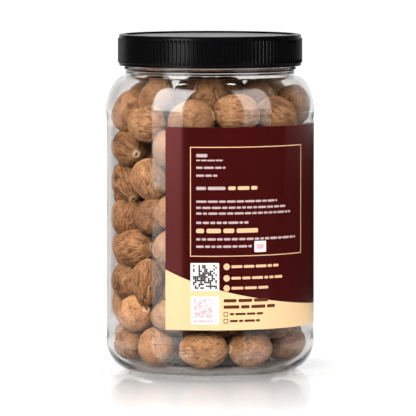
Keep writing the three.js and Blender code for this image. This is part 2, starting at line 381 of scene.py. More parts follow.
# The room: white to the camera, bright behind the jar and dim elsewhere to what the plastic shows
def makeRoom():
    world = bpy.data.worlds.new("room")
    bpy.context.scene.world = world
    world.use_nodes = True
    tree = world.node_tree
    tree.nodes.clear()
    direction = addNode(tree, "ShaderNodeTexCoord").outputs["Generated"]
    back = addNode(tree, "ShaderNodeSeparateXYZ", {"Vector": direction}).outputs["Y"]
    path = addNode(tree, "ShaderNodeLightPath").outputs
    mirrored = reMap(tree, back, *room["mirroredFrom"], room["front"], room["behind"])
    through = reMap(tree, back, *room["throughFrom"], room["front"], room["behind"])
    level = mixColours(tree, path["Is Transmission Ray"], mirrored, through)
    shown = addNode(tree, "ShaderNodeBackground", {"Color": level})
    white = addNode(tree, "ShaderNodeBackground", {"Color": (1, 1, 1, 1), "Strength": room["white"]})
    mixed = addNode(tree, "ShaderNodeMixShader", {0: path["Is Camera Ray"], 1: shown.outputs[0],
                                                  2: white.outputs[0]})
    addNode(tree, "ShaderNodeOutputWorld", {"Surface": mixed.outputs[0]})


# A pair is a range over which the floor changes, in metres from the jar's axis unless a note says otherwise
acrylic = {
    "reach": 4.0,  # half its side
    "colour": (0.75, 0.75, 0.75, 1.0),
    # the near glow is painted light that lifts the shade round the foot
    "nearGlow": 0.23,  # seen by the camera round the foot
    "nearStarts": (0.055, 0.085),
    "nearFades": (0.09, 0.16),
    # the far glow is painted light too: it evens the floor and hides the lamps' shadows
    "farGlow": 1.0,  # further away and behind
    "farStarts": (0.22, 1.5),
    "backStarts": (-0.045, 0.12),  # towards the back
    "gloss": 0.74,  # share that mirrors the jar to the camera
    "glossFades": (0.05, 0.4),
    "glossRoughness": 0.014,
    "dark": (0.02, 0.02, 0.02, 1.0),  # its colour to the plastic and the lid
    "darkStarts": (0.07, 0.14),
    "mirror": 0.6,  # how much its dark front mirrors the softboxes
    "mirrorEnds": (0.0, 0.05),  # towards the back
    # the panel is a painted glow on the floor that only the plastic and the lid see
    "panel": 0.8,  # brightness of the lit panel, which plastic shows
    "panelStarts": (0.03, 0.06),
    "panelBack": (0.0, 0.1),  # towards the back
    "panelLeft": (-1.1, -0.7),  # sideways for each metre back
    "panelRight": (0.15, 0.3),  # the same, in the stretch that the wall mirrors beside the label
    "aboveLabel": (2.5, 2.7),  # how far away the floor lies that the wall mirrors there
    "belowLabel": (0.3, 0.45),
    "wedge": 0.6,  # how far the panel reaches forward at the sides, below the label
    "wedgeStarts": (0.0, 0.05),
}


# White acrylic: matt, with a painted glow that the camera sees round the foot, where it lifts the shade, and
# further away and behind, where it evens the floor and hides the lamps' shadows, and with a gloss that fades
# away from the jar. The plastic and the lid see another floor: dark, polished in front of the jar, and with a
# glowing panel painted behind it that ends to the left and to the right.
def makeFloor():
    material, tree, shader = newMaterial("floorAcrylic", {"Roughness": 1.0, "Specular IOR Level": 0.0,
                                                          "Emission Color": (1, 1, 1, 1)})
    place = objectPlace(tree)
    away = addNode(tree, "ShaderNodeVectorMath", {0: place}, operation="LENGTH").outputs["Value"]
    place = addNode(tree, "ShaderNodeSeparateXYZ", {"Vector": place}).outputs
    sideways, back = place["X"], place["Y"]
    path = addNode(tree, "ShaderNodeLightPath").outputs

    def times(value, *others):
        for other in others:
            value = compute(tree, "MULTIPLY", value, other)
        return value

    def larger(first, second):
        return compute(tree, "MAXIMUM", first, second)

    def plus(first, second):
        return compute(tree, "ADD", first, second)

    def without(value):
        return compute(tree, "SUBTRACT", 1.0, value)

    def ramp(value, name, low=0.0, high=1.0):
        return reMap(tree, value, *acrylic[name], low, high)

    seen = path["Is Camera Ray"]
    mirrored = without(larger(seen, path["Is Diffuse Ray"]))
    dark = times(mirrored, ramp(away, "darkStarts"))
    near = times(ramp(away, "nearStarts", 0.0, acrylic["nearGlow"]), ramp(away, "nearFades", 1.0, 0.5))
    far = larger(ramp(away, "farStarts", 0.0, acrylic["farGlow"]),
                 ramp(back, "backStarts", 0.0, acrylic["farGlow"]))
    lean = compute(tree, "DIVIDE", sideways, larger(back, 0.001))
    behind = times(larger(ramp(lean, "panelRight", 1.0, 0.0), ramp(away, "aboveLabel")),
                   ramp(back, "panelBack"), ramp(lean, "panelLeft"))
    wedge = ramp(plus(back, times(compute(tree, "ABSOLUTE", sideways), acrylic["wedge"])), "wedgeStarts")
    panel = larger(behind, times(ramp(away, "belowLabel", 1.0, 0.0), wedge))
    panel = times(panel, ramp(away, "panelStarts"), mirrored)
    # painted glow: near and far for the camera, the panel for the plastic and the lid
    feed(shader, {"Base Color": mixColours(tree, dark, acrylic["colour"], acrylic["dark"]),
                  "Emission Strength": plus(times(plus(near, far), seen), times(panel, acrylic["panel"]))})
    gloss = times(compute(tree, "POWER", ramp(away, "glossFades", 1.0, 0.0), 2.0), acrylic["gloss"],
                  without(dark))
    mirror = times(dark, without(panel), ramp(back, "mirrorEnds", 1.0, 0.0), acrylic["mirror"])
    polish = addNode(tree, "ShaderNodeBsdfGlossy", {"Color": (1, 1, 1, 1),
                                                    "Roughness": acrylic["glossRoughness"]})
    outputMix(tree, larger(gloss, mirror), shader, polish)
    reach = acrylic["reach"]
    corners = np.array([[-reach, -reach, 0], [reach, -reach, 0], [reach, reach, 0], [-reach, reach, 0]])
    floor = addObject("floor", arrayMesh("floor", corners, np.array([[0, 1, 2, 3]])))
    floor.data.materials.append(material)


makeCamera()
makeLamps()
makeRoom()
makeFloor()
bpy.context.scene.view_settings.view_transform = "Standard"
print("camera, lamps and floor made")


# The jar, in millimetres

jar = {
    "bodyRadius": 55.0,
    "wall": 1.2,
    "heelWidth": 13.0,
    "heelHeight": 16.0,
    "shoulderBase": 136.0,
    "shoulderWidth": 10.5,
    "shoulderHeight": 19.0,
    "mouth": 174.5,
    "footWidth": 7.0,
    "pushUp": 2.5,
    "panelDepth": 0.35,
    "panelLow": 22.0,
    "panelHigh": 132.0,
    "beads": [(159.0, 1.1, 1.0), (157.0, 0.35, 0.4)],  # height, how far out, half its breadth
    "threadLow": 163.0,
    "threadPitch": 3.6,
    "threadTurns": 1.6,
    "threadSize": 1.4,
    "threadBreadth": 0.36,  # half of it, as a share of the pitch
    "threadRunOut": 0.08,  # turns over which it fades at both ends
    "lip": 0.4,
    "footRound": (1.5, 0.6),  # how wide and high the foot's inner edge curves up
    "base": 1.7,
    "columns": 216,
    "tint": paint(250, 248, 246),
    "shadow": (0.93, 0.93, 0.92, 1.0),
    "roughness": 0.03,
    "sharpAngle": 50.0,
}
jar["neckRadius"] = jar["bodyRadius"] - jar["shoulderWidth"]
jar["neckBase"] = jar["shoulderBase"] + jar["shoulderHeight"]
jar["footRadius"] = jar["bodyRadius"] - jar["heelWidth"]


# Outside up from the pushed-up middle of the foot, then inside down to the floor
def jarProfile():
    body, neck, foot, wall = jar["bodyRadius"], jar["neckRadius"], jar["footRadius"], jar["wall"]
    heel, heelHigh, base, pushUp = jar["heelWidth"], jar["heelHeight"], jar["base"], jar["pushUp"]
    shoulder, shoulderWidth, shoulderHigh = jar["shoulderBase"], jar["shoulderWidth"], jar["shoulderHeight"]
    panel, panelLow, panelHigh = body - jar["panelDepth"], jar["panelLow"], jar["panelHigh"]
    mouth, lip, neckBase = jar["mouth"], jar["lip"], jar["neckBase"]
    ring, inner = foot - jar["footWidth"], neck - wall
    roundWide, roundHigh = jar["footRound"]
    return np.concatenate([
        ellipseArc(0, roundHigh, ring - roundWide, pushUp - roundHigh, 90, 0, 10),
        ellipseArc(ring, roundHigh, roundWide, roundHigh, 180, 270, 3)[1:],
        straight((ring, 0), (foot, 0), 3)[:-1],
        ellipseArc(foot, heelHigh, heel, heelHigh, -90, 0, 22),
        straight((body, heelHigh), (panel, panelLow), 4),
        straight((panel, panelLow), (panel, panelHigh), 24),
        straight((panel, panelHigh), (body, shoulder), 4)[:-1],
        ellipseArc(neck, shoulder, shoulderWidth, shoulderHigh, 0, 90, 28),
        straight((neck, neckBase), (neck, mouth - lip), 90),
        ellipseArc(neck - lip, mouth - lip, lip, lip, 0, 90, 4)[1:],
        ellipseArc(inner + lip, mouth - lip, lip, lip, 90, 180, 4),
        straight((inner, mouth - lip), (inner, neckBase - 0.5), 10),
        ellipseArc(inner, shoulder, shoulderWidth, shoulderHigh - 0.5, 90, 0, 28)[1:],
        straight((body - wall, shoulder), (body - wall, heelHigh), 24),
        ellipseArc(foot - wall, heelHigh, heel, heelHigh - base, 0, -90, 22)[1:],
        straight((foot - wall, base), (ring, base), 3),
        ellipseArc(0, base + 0.2, ring - roundWide, pushUp - 0.2, 0, 90, 10),
    ])


# A cosine hump over a height: 1 in the middle, 0 beyond its half breadth
def hump(height, middle, breadth):
    return (1 + np.cos(np.pi * np.clip(np.abs(height - middle) / breadth, 0, 1))) / 2


# Beads round the neck as humps, and a thread as a hump whose height rises by the pitch each turn
def neckRelief(turn, radius, height):
    outer = radius > jar["neckRadius"] - 0.5
    pitch, turns, runOut = jar["threadPitch"], jar["threadTurns"], jar["threadRunOut"]
    added = np.zeros(np.broadcast_shapes(turn.shape, height.shape))
    for middle, size, breadth in jar["beads"]:
        added = added + size * hump(height, middle, breadth)
    for lap in range(3):
        along = turn / (2 * np.pi) + lap
        running = smoothStep(0, runOut, along) * (1 - smoothStep(turns - runOut, turns, along))
        thread = hump(height, jar["threadLow"] + pitch * along, pitch * jar["threadBreadth"])
        added = added + jar["threadSize"] * running * thread
    return np.where(outer & (height > jar["neckBase"]), added, 0)


# Clear plastic: a faint waviness from the blow moulding; shadow rays pass so that lamps light the filling
def makeClearPlastic():
    material, tree, shader = newMaterial("clearPlastic", {"Base Color": jar["tint"], "IOR": 1.5,
                                                          "Transmission Weight": 1.0})
    applyFinish(tree, shader, placeFinish(tree, 60.0, 38.0, jar["roughness"], 0.02), 0.25, 0.0004)
    clear = addNode(tree, "ShaderNodeBsdfTransparent", {"Color": jar["shadow"]})
    shadow = addNode(tree, "ShaderNodeLightPath").outputs["Is Shadow Ray"]
    outputMix(tree, shadow, shader, clear)
    return material


jarMesh = turnedMesh("jarShell", jarProfile(), jar["columns"], neckRelief)
jarMesh.set_sharp_from_angle(angle=np.radians(jar["sharpAngle"]))
addPiece("jarShell", jarMesh, [makeClearPlastic()], "jar")
print("jar made:", len(jarMesh.polygons), "faces")


# The lid

lid = {
    "radius": 48.65,
    "low": 160.4,
    "high": 177.0,
    "cavityRadius": 46.5,
    "ceiling": 174.85,
    "recessRadius": 45.2,
    "recess": 0.9,
    "chamfer": 1.1,
    "ribs": 132,
    "ribDepth": 0.55,
    "ribLow": 161.8,
    "ribHigh": 175.1,
    "columnsPerRib": 6,
    "corner": 1.0,  # radii of the hollow's corner, the rim's two edges and the recess's edges
    "rimInside": 0.4,
    "rimOutside": 0.6,
    "recessEdge": 0.3,
    "ribFade": 0.6,
    "colour": paint(7, 7, 8),
    "roughness": 0.25,
    "specular": 0.12,
    "sharpAngle": 50.0,
}


# Underside of the top, down the hollow, round the rim, up the outside and in over the recessed top
def lidProfile():
    root = lid["radius"] - lid["ribDepth"]
    low, high, cavity, ceiling = lid["low"], lid["high"], lid["cavityRadius"], lid["ceiling"]
    ribLow, ribHigh, ribFade = lid["ribLow"], lid["ribHigh"], lid["ribFade"]
    chamfer, floor, rim = lid["chamfer"], lid["high"] - lid["recess"], lid["recessRadius"]
    corner, inside, outside, edge = lid["corner"], lid["rimInside"], lid["rimOutside"], lid["recessEdge"]
    return np.concatenate([
        np.array([[0, ceiling]]),
        straight((0, ceiling), (cavity - corner, ceiling), 2),
        ellipseArc(cavity - corner, ceiling - corner, corner, corner, 90, 0, 3)[1:],
        straight((cavity, ceiling - corner), (cavity, low + inside), 4),
        ellipseArc(cavity + inside, low + inside, inside, inside, 180, 270, 3)[1:],
        ellipseArc(root - outside, low + outside, outside, outside, -90, 0, 4),
        straight((root, low + outside), (root, ribLow), 3),
        straight((root, ribLow), (root, ribLow + ribFade), 3),
        straight((root, ribLow + ribFade), (root, ribHigh - ribFade), 6),
        straight((root, ribHigh - ribFade), (root, ribHigh), 3),
        straight((root, ribHigh), (root, high - chamfer), 2),
        ellipseArc(root - chamfer, high - chamfer, chamfer, chamfer, 0, 90, 6)[1:],
        straight((root - chamfer, high), (rim + edge, high), 2),
        ellipseArc(rim + edge, high - edge, edge, edge, 90, 180, 3)[1:],
        straight((rim, high - edge), (rim, floor + edge), 1),
        ellipseArc(rim - edge, floor + edge, edge, edge, 0, -90, 3)[1:],
        straight((rim - edge, floor), (0, floor), 6),
    ])


# Ribs with flat tops and flat grooves between steep flanks: a clipped cosine, fading out at both ends
def ribRelief(turn, radius, height):
    outer = radius > lid["radius"] - lid["ribDepth"] - 0.01
    rib = np.clip(0.5 + 2 * np.cos(turn * lid["ribs"]), 0, 1)
    band = smoothStep(lid["ribLow"], lid["ribLow"] + lid["ribFade"], height)
    band = band * (1 - smoothStep(lid["ribHigh"] - lid["ribFade"], lid["ribHigh"], height))
    return np.where(outer, lid["ribDepth"] * rib * band, 0)


def makeLidPlastic():
    material, tree, shader = newMaterial("blackPlastic", {"Base Color": lid["colour"],
                                                          "Specular IOR Level": lid["specular"]})
    applyFinish(tree, shader, placeFinish(tree, 45.0, 2600.0, lid["roughness"], 0.12), 0.3, 0.00008)
    return material


lidMesh = turnedMesh("ribbedLid", lidProfile(), lid["ribs"] * lid["columnsPerRib"], ribRelief)
lidMesh.set_sharp_from_angle(angle=np.radians(lid["sharpAngle"]))
addPiece("ribbedLid", lidMesh, [makeLidPlastic()], "lid")
print("lid made:", len(lidMesh.polygons), "faces")


# The label and its print, in millimetres along the arc from the label's first edge and in height

label = {
    "inner": 54.75,
    "outer": 54.95,
    "low": 24.9,
    "high": 130.5,
    "start": -25.0,  # degrees from the front towards +X
    "turn": 250.0,
    "creamLevel": 31.6,
    "creamRise": 24.7,
    "creamFade": 52.0,
    "farFade": 34.0,
    "maroon": paint(61, 13, 13),
    "maroonSheen": (1.0, 0.3, 0.3, 1.0),
    "back": paint(240, 240, 236),
    "cream": paint(246, 209, 158),
    "white": paint(246, 240, 234),
    "smallPrint": paint(196, 170, 168),
    "peach": paint(238, 190, 148),
    "brown": paint(96, 46, 28),
    "rose": paint(236, 178, 192),
    "black": paint(40, 34, 36),
    "inkThickness": 0.03,
    "inkLift": 0.01,  # of the first inks off the film, and of those printed over them
    "overprintLift": 0.05,
    "line": 0.45,
    "columns": 251,
    "creamRows": 9,
    "maroonRows": 17,
    "sharpAngle": 40.0,
}
label["length"] = np.radians(label["turn"]) * label["outer"]


# A point of the label's cylinder: along the arc, height and distance from the axis
def onLabel(along, height, radius):
    turn = np.radians(label["start"]) + along / label["outer"]
    return stacked(radius * np.sin(turn), -radius * np.cos(turn), height)


# A closed curved sheet: an outer and an inner grid, joined round their four edges
def curvedSheet(along, heights, inner, outer):
    rows, columns = heights.shape
    front = onLabel(along, heights, outer).reshape(-1, 3)
    back = onLabel(along, heights, inner).reshape(-1, 3)
    quads = gridQuads(rows, columns)
    shift = rows * columns
    index = np.arange(shift).reshape(rows, columns)
    edge = np.concatenate([index[0, :-1], index[:-1, -1], index[-1, :0:-1], index[:0:-1, 0]])
    following = np.roll(edge, -1)
    sides = np.stack([edge, edge + shift, following + shift, following], -1)
    return np.concatenate([front, back]), np.concatenate([quads, quads[:, ::-1] + shift, sides])


# The height at which the cream field meets the maroon: it falls away from both ends of the label
def creamEdge(along):
    near = np.exp(-along / label["creamFade"])
    far = np.exp(-(label["length"] - along) / label["farFade"])
    return label["creamLevel"] + label["creamRise"] * (near + far)


# Printed film: faintly mottled, with a sheen that takes on the colour of dark print
def makeFilm(name, colour, roughness=0.12, sheen=(1.0, 1.0, 1.0, 1.0), specular=0.5):
    material, tree, shader = newMaterial(name, {"Specular Tint": sheen, "Specular IOR Level": specular,
                                                "IOR": 1.45})
    share = reMap(tree, addNoise(tree, objectPlace(tree), 900.0, 3.0), 0.3, 0.7, 0.0, 0.16)
    darker = tuple(value * 0.7 for value in colour[:3]) + (1.0,)
    feed(shader, {"Base Color": mixColours(tree, share, colour, darker)})
    applyFinish(tree, shader, placeFinish(tree, 30.0, 1800.0, roughness, 0.05), 0.2, 0.00005)
    return material


def makeLabel():
    along = np.linspace(0, label["length"], label["columns"])[None, :]
    edge = creamEdge(along)
    cream = label["low"] + (edge - label["low"]) * np.linspace(0, 1, label["creamRows"])[:, None]
    maroon = edge + (label["high"] - edge) * np.linspace(0, 1, label["maroonRows"])[1:, None]
    heights = np.concatenate([cream, maroon])
    points, quads = curvedSheet(along, heights, label["inner"], label["outer"])
    mesh = arrayMesh("wrapLabel", points * mm, quads)
    mesh.set_sharp_from_angle(angle=np.radians(label["sharpAngle"]))
    creamFaces = (len(cream) - 1) * (along.size - 1)
    printedFaces = (len(heights) - 1) * (along.size - 1)
    colourOf = np.full(len(quads), 2, np.int32)
    colourOf[:creamFaces] = 0
    colourOf[creamFaces:printedFaces] = 1
    films = [makeFilm("creamFilm", label["cream"]),
             makeFilm("maroonFilm", label["maroon"], sheen=label["maroonSheen"], specular=0.95),
             makeFilm("backFilm", label["back"], 0.5)]
    addPiece("wrapLabel", mesh, films, "label")
    mesh.polygons.foreach_set("material_index", colourOf)


# A flat ink shape with rounded corners: half its height falls as a circle towards both ends
def inkShape(left, right, low, high, corner=0.0, lift=label["inkLift"]):
    corner = min(corner, (right - left) / 2, (high - low) / 2)
    steps = max(2, int(np.ceil((right - left) / 1.2)) + 1)  # so that it bends with the label
    along = np.linspace(left, right, steps)
    if corner > 0:
        bend = corner * (1 - np.cos(np.linspace(0, np.pi / 2, 5)))
        along = np.unique(np.concatenate([along, left + bend, right - bend]).round(4))
    inset = np.clip(corner - np.minimum(along - left, right - along), 0, corner)
    half = (high - low) / 2 - corner + np.sqrt(np.maximum(corner ** 2 - inset ** 2, 0))
    half = np.maximum(half, 0.02)
    middle = (low + high) / 2
    heights = np.stack([middle - half, middle + half])
    base = label["outer"] + lift
    return curvedSheet(along[None, :], heights, base, base + label["inkThickness"])


def inkFrame(left, right, low, high, line):
    return [
        inkShape(left, right, low, low + line),
        inkShape(left, right, high - line, high),
        inkShape(left, left + line, low + line, high - line),
        inkShape(right - line, right, low + line, high - line),
    ]


# A repeatable number from 0 to 1 for i, one for each purpose k
def chance(i, k=0):
    wave = np.sin(i * 12.9898 + k * 78.233) * 43758.5453
    return wave - np.floor(wave)


# A line of plain blocks as long as a line of words: seeded lengths, with gaps between them
def inkWords(left, right, middle, tall, seed, lift=label["inkLift"]):
    shapes, place, number = [], left, seed
    while place < right - tall:
        number += 1
        end = min(place + tall * (1.6 + 3.4 * chance(number)), right)
        if right - end < tall * 1.2:
            end = right
        shapes.append(inkShape(place, end, middle - tall / 2, middle + tall / 2, tall * 0.35, lift))
        place = end + tall * 0.55
    return shapes


# Several such lines, each of left, right, middle height and tall, with seeds that step on
def inkLines(lines, seed):
    return [shape for number, line in enumerate(lines) for shape in inkWords(*line, seed + number * 7)]


# A patch of square cells, each filled or not by a seeded draw; it carries no message
def inkCells(left, low, side, cells, seed):
    shapes, step = [], side / cells
    for row, column in itertools.product(range(cells), repeat=2):
        if chance(row * cells + column + seed) < 0.5:
            x, y = left + column * step, low + row * step
            shapes.append(inkShape(x, x + step * 0.92, y, y + step * 0.92, 0, label["overprintLift"]))
    return shapes


printed = {
    "frame": (13.5, 81.4, 63.3, 120.3),
    "textStart": 16.7,
    "smallLines": [  # right end, middle height, tall
        (22.5, 115.8, 1.7), (30.5, 113.3, 0.8), (31.9, 109.5, 1.1), (27.7, 105.4, 1.1), (32.0, 98.8, 1.7),
        (61.7, 91.9, 1.1), (67.5, 88.7, 1.1), (71.3, 85.7, 1.1), (46.1, 80.9, 1.2), (75.6, 72.3, 1.2),
        (46.2, 68.5, 1.2),
    ],
    "creamLines": [(33.4, 49.4, 98.8, 1.9), (16.7, 49.8, 76.7, 2.3)],  # left, right, middle height, tall
    "mark": (47.7, 54.6, 65.3, 71.1),
    "plates": [(13.7, 28.7, 45.5, 60.0), (13.9, 28.7, 28.0, 42.6)],
    "plateCorner": 0.5,
    "rounds": (30.9, 34.3, 1.7),  # left, right, radius
    "roundLines": [(35.1, 62.7, 58.0, 1.4), (35.1, 65.3, 52.0, 1.4), (35.1, 56.0, 46.8, 1.4)],
    "brownLines": [(31.0, 56.0, 40.3, 1.7), (31.0, 60.3, 37.0, 1.7), (34.3, 52.8, 33.3, 1.2),
                   (34.3, 51.0, 29.7, 1.2)],
    "brownMarks": (31.0, 33.4, 1.2, 0.35),  # left, right, half its height, line
    "darkCells": (15.0, 46.5, 12.6, 13, 3),  # left, low, side, cells a side, seed
    "roseCells": (15.6, 31.7, 9.6, 11, 60),
    "roseLine": (15.6, 25.6, 29.7, 0.9, 60),
    "roseInset": (1.3, 1.6, 1.2),  # of the rose in the mark: sideways, upright, corner
    "farPanel": (122.0, 222.0, 61.0, 122.0),
    "farBars": (30, 22, 14),  # half lengths
}


# All shapes of one ink as one piece
def addInk(name, shapes, colour):
    points, quads, count = [], [], 0
    for shapePoints, shapeQuads in shapes:
        points.append(shapePoints)
        quads.append(shapeQuads + count)
        count += len(shapePoints)
    mesh = arrayMesh(name, np.concatenate(points) * mm, np.concatenate(quads))
    mesh.set_sharp_from_angle(angle=np.radians(label["sharpAngle"]))
    addPiece(name, mesh, [makeFilm(name + "Film", label[colour])])


def makePrint():
    left, right, low, high = printed["mark"]
    white = [inkShape(*place, printed["plateCorner"]) for place in (printed["mark"], *printed["plates"])]
    small = inkLines([(printed["textStart"], *line) for line in printed["smallLines"]], 0)
    cream = inkFrame(*printed["frame"], label["line"]) + inkLines(printed["creamLines"], 90)
    start, end, radius = printed["rounds"]
    for line in printed["roundLines"]:
        cream.append(inkShape(start, end, line[2] - radius, line[2] + radius, radius))
    cream += inkLines(printed["roundLines"], 140) + farPanel()
    brown = inkLines(printed["brownLines"], 170)
    start, end, half, thin = printed["brownMarks"]
    for line in printed["brownLines"][2:]:
        brown += inkFrame(start, end, line[2] - half, line[2] + half, thin)
    rose = inkCells(*printed["roseCells"]) + inkWords(*printed["roseLine"], label["overprintLift"])
    side, upright, corner = printed["roseInset"]
    rose.append(inkShape(left + side, right - side, low + upright, high - upright, corner,
                         label["overprintLift"]))
    addInk("inkWhite", white, "white")
    addInk("inkSmall", small, "smallPrint")
    addInk("inkCream", cream, "peach")
    addInk("inkBrown", brown, "brown")
    addInk("inkDark", inkCells(*printed["darkCells"]), "black")
    addInk("inkRose", rose, "rose")


# The side that the front view doesn't show: a plain bordered panel with an oval and three bars
def farPanel():
    left, right, low, high = printed["farPanel"]
    middle = (left + right) / 2
    shapes = inkFrame(left, right, low, high, label["line"] * 2)
    shapes.append(inkShape(middle - 22, middle + 22, high - 38, high - 9, 14.5))
    for number, reach in enumerate(printed["farBars"]):
        top = high - 44 - number * 4.5
        shapes.append(inkShape(middle - reach, middle + reach, top - 2, top, 1))
    return shapes


makeLabel()
makePrint()
print("label and print made")


# The nutmegs, in millimetres. Turn is in degrees from the front towards +X. Lean is the angle of the long
# axis from upright towards the right, and facing is how far its scarred end points to the front.

filling = {
    "clearance": 1.1,
    "top": 156.5,
    "levels": 8,
    "firstLevel": 12,
    "spacing": 18.4,
    "rings": [(43.5, 13), (24.5, 7), (5.0, 1)],  # radius, count
    "longHalf": (11.2, 13.4),
    "wideHalf": (9.3, 10.7),
    "steps": 160,
    "drop": 0.5,
    "pushShare": 0.55,
    "crowding": 0.72,
    "taper": 0.08,
    # turns between which no others start at the wall: from, to at the label's height, to above and below it
    "placedByHand": (-112, -12, 100),
    "underLabelTop": 6,  # how far under the label's top edge its height ends here
    # what is taken as seen: degrees beyond the gap's edges, radius, and heights beyond the label's edges
    "seen": {"beyondGap": 16, "radius": 18, "overLow": 6, "underHigh": 9},
    # grids round and along a nutmeg at the front, one deeper or at the back, and one behind the label
    "grids": [(120, 68), (48, 28), (24, 14)],
}

# tone is each nutmeg's lightness as lit, so its low values paint shade onto the deep ones at the top under
# the lid
frontNutmegs = [  # turn, height, length, width, lean, facing, inset from the wall, kind, tone
    (-78, 136.6, 24, 20, 40, -15, 0, "furrowed", 0.5),
    (-50, 130.9, 21, 19, 80, 30, 0, "wrinkled", 0.62),
    (-80, 117.8, 23, 19, 130, 62, 0, "scarred", 0.45),
    (-82, 99.3, 23, 18, 160, 38, 0, "scarred", 0.5),
    (-46, 101.6, 23.5, 19.5, -15, 10, 0, "wrinkled", 0.66),
    (-28.7, 118.2, 22, 18, 0, 30, 0, "smooth", 0.3),
    (-82, 80.6, 22.5, 18, 6, 5, 0, "furrowed", 0.6),
    (-47, 82.6, 23, 19, 50, 30, 3, "netted", 0.42),
    (-67, 65.4, 24, 19.5, 85, 40, 0, "furrowed", 0.76),
    (-98, 63.6, 24, 19, 0, 20, 0, "smooth", 0.55),
    (-27.3, 67, 23, 18.5, 70, 40, 0, "smooth", 0.4),
    (-25, 85.5, 23, 19, 80, 30, 0, "smooth", 0.4),
    (-47.5, 47.9, 25, 16.5, 4, 5, 0, "furrowed", 0.64),
    (-80, 47.2, 23, 18, 15, 30, 0, "furrowed", 0.5),
    (-64, 30.7, 22, 19.5, 60, 55, 0, "pitted", 1.3),
    (-97, 33.2, 23, 18, 0, 10, 0, "smooth", 0.65),
    (-27.3, 31.2, 23, 18, 85, 30, 0, "smooth", 0.35),
    (-76, 13.1, 23, 19.5, 100, -70, 0, "scarred", 0.55),
    (-41, 13, 22.5, 20.4, 0, -60, 0, "pitted", 0.74),
    (-5.2, 12.8, 25, 20.2, 88, 0, 0, "wrinkled", 0.7),
    (29.7, 12.9, 23.5, 20.2, -90, 25, 0, "netted", 0.72),
    (68, 14, 24, 19, 30, 30, 0, "netted", 0.3),
    # the top layer follows: its low tones paint in the shade under the lid
    (0, 145.5, 23, 19.5, 8, -20, 19, "furrowed", 0.02),
    (-13.2, 134, 25, 20, 80, 15, 0, "pitted", 0.3),
    (19, 137, 24, 20, 98, 10, 0, "wrinkled", 0.5),
    (55, 134.2, 24, 20, -50, 15, 0, "furrowed", 0.28),
    (88, 138.5, 24, 19.5, 20, 10, 0, "netted", 0.12),
    (56, 144, 22, 18, 70, 30, 14, "netted", -0.2),
    (-55.5, 143.5, 23, 18, 40, 30, 9, "pitted", 0.12),
    (-103, 141, 22, 18, 20, 30, 7, "pitted", 0.1),
    (-30, 146, 24, 19.5, 75, 20, 26, "netted", -0.38),
    (30, 146, 24, 19.5, 100, -15, 26, "furrowed", -0.38),
]


def between(limits, share):
    return limits[0] + (limits[1] - limits[0]) * share


# How far the plane that touches the egg from outside, facing a direction, lies from its centre
def support(eggs, direction):
    along = np.sum(eggs["axis"] * direction, -1) ** 2
    return np.sqrt(along * eggs["a"] ** 2 + (1 - along) * eggs["b"] ** 2)


# The same for the room inside the jar, whose wall faces outwards at a slope above the horizontal
def roomSupport(slope):
    across, up = np.cos(slope), np.sin(slope)
    if slope < 0:
        centre, width = (jar["footRadius"] - jar["wall"], jar["heelHeight"]), jar["heelWidth"]
        height = jar["heelHeight"] - jar["wall"]
    else:
        centre, width = (jar["neckRadius"] - jar["wall"], jar["shoulderBase"]), jar["shoulderWidth"]
        height = filling["top"] - jar["shoulderBase"]
    reach = np.hypot(width * across, height * up)
    return centre[0] * across + centre[1] * up + reach - filling["clearance"]


# The level direction from the axis at a turn
def outwardAt(turn):
    return np.stack([np.sin(turn), -np.cos(turn), np.zeros(len(turn))], -1)


# Moves nutmegs back inside the jar, by each slope of the wall in turn
def keepInside(eggs):
    for degrees in (-90, -60, -30, 0, 30, 60, 90):
        slope = np.radians(degrees)
        radius = np.hypot(eggs["centre"][:, 0], eggs["centre"][:, 1]) + 1e-9
        direction = np.stack([eggs["centre"][:, 0] / radius * np.cos(slope),
                              eggs["centre"][:, 1] / radius * np.cos(slope),
                              np.full(len(radius), np.sin(slope))], -1)
        inner = jar["footRadius"] - jar["footWidth"]
        lift = jar["pushUp"] * np.maximum(0, 1 - radius / inner) if degrees == -90 else 0
        past = np.sum(eggs["centre"] * direction, -1) + support(eggs, direction) - roomSupport(slope) + lift
        eggs["centre"] -= direction * np.maximum(past, 0)[:, None]


# The front nutmegs against the wall where the front shows them
def frontEggs():
    turn, height, long, wide, lean, facing, inset = np.array([row[:7] for row in frontNutmegs], float).T
    turn, lean, facing = np.radians(turn), np.radians(lean), np.radians(facing)
    outward = outwardAt(turn)
    axis = np.stack([np.sin(lean) * np.cos(facing), -np.sin(facing), np.cos(lean) * np.cos(facing)], -1)
    eggs = {"a": long / 2, "b": wide / 2, "axis": axis}
    radius = roomSupport(0) - support(eggs, outward) - inset
    eggs["centre"] = outward * radius[:, None] + np.array([0, 0, 1]) * height[:, None]
    keepInside(eggs)
    eggs["fixed"] = np.ones(len(turn), bool)
    return eggs


